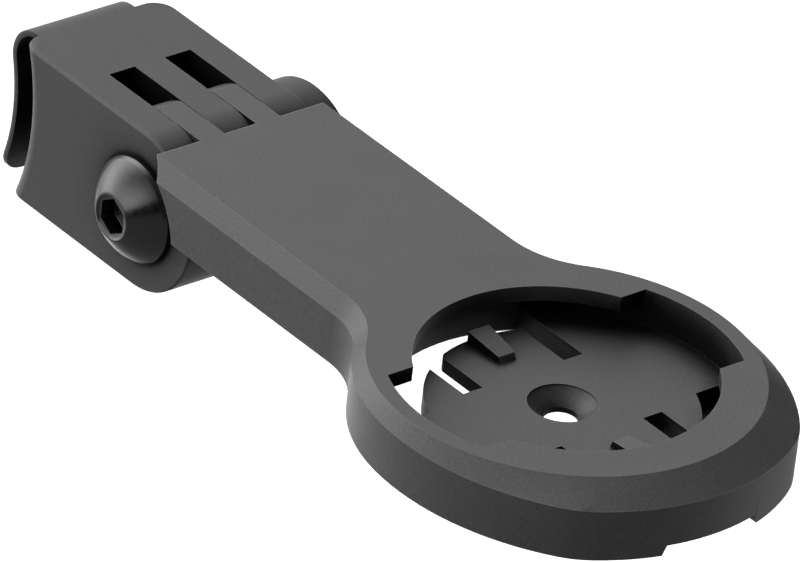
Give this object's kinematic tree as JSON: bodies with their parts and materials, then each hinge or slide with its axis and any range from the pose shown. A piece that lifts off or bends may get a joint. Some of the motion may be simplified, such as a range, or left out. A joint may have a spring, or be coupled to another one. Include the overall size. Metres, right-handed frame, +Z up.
{
  "type": "bike computer mount",
  "caption": "Out-front mount: a small base block with a hook plate for the bar, a screwed finger hinge, and a flat arm that ends in a round quarter-turn cup with spring catches.",
  "frame": {"origin": "on the cup's axis at the flat top face of the arm and ring", "axes": "+X from the handlebar end toward the cup, +Z up out of the cup's mouth, Y along the hinge axis with the screw head on the -Y side"},
  "size_m": [0.0914, 0.0364, 0.0161],
  "materials": {
    "moulding": "fine matte texture, dark grey",
    "screw": "smooth glossy black coating",
    "nut": "matte black"
  },
  "bodies": {
    "base": {"base_block": "moulding", "pivot_screw": "screw", "pivot_nut": "nut"},
    "arm": {"mount_arm": "moulding"}
  },
  "joints": [
    {"name": "arm_tilt", "type": "hinge", "parent": "base", "child": "arm", "pos_m": [-0.04855, 0, -0.00765], "axis": [0, 1, 0], "range_deg": [-45, 120]}
  ]
}
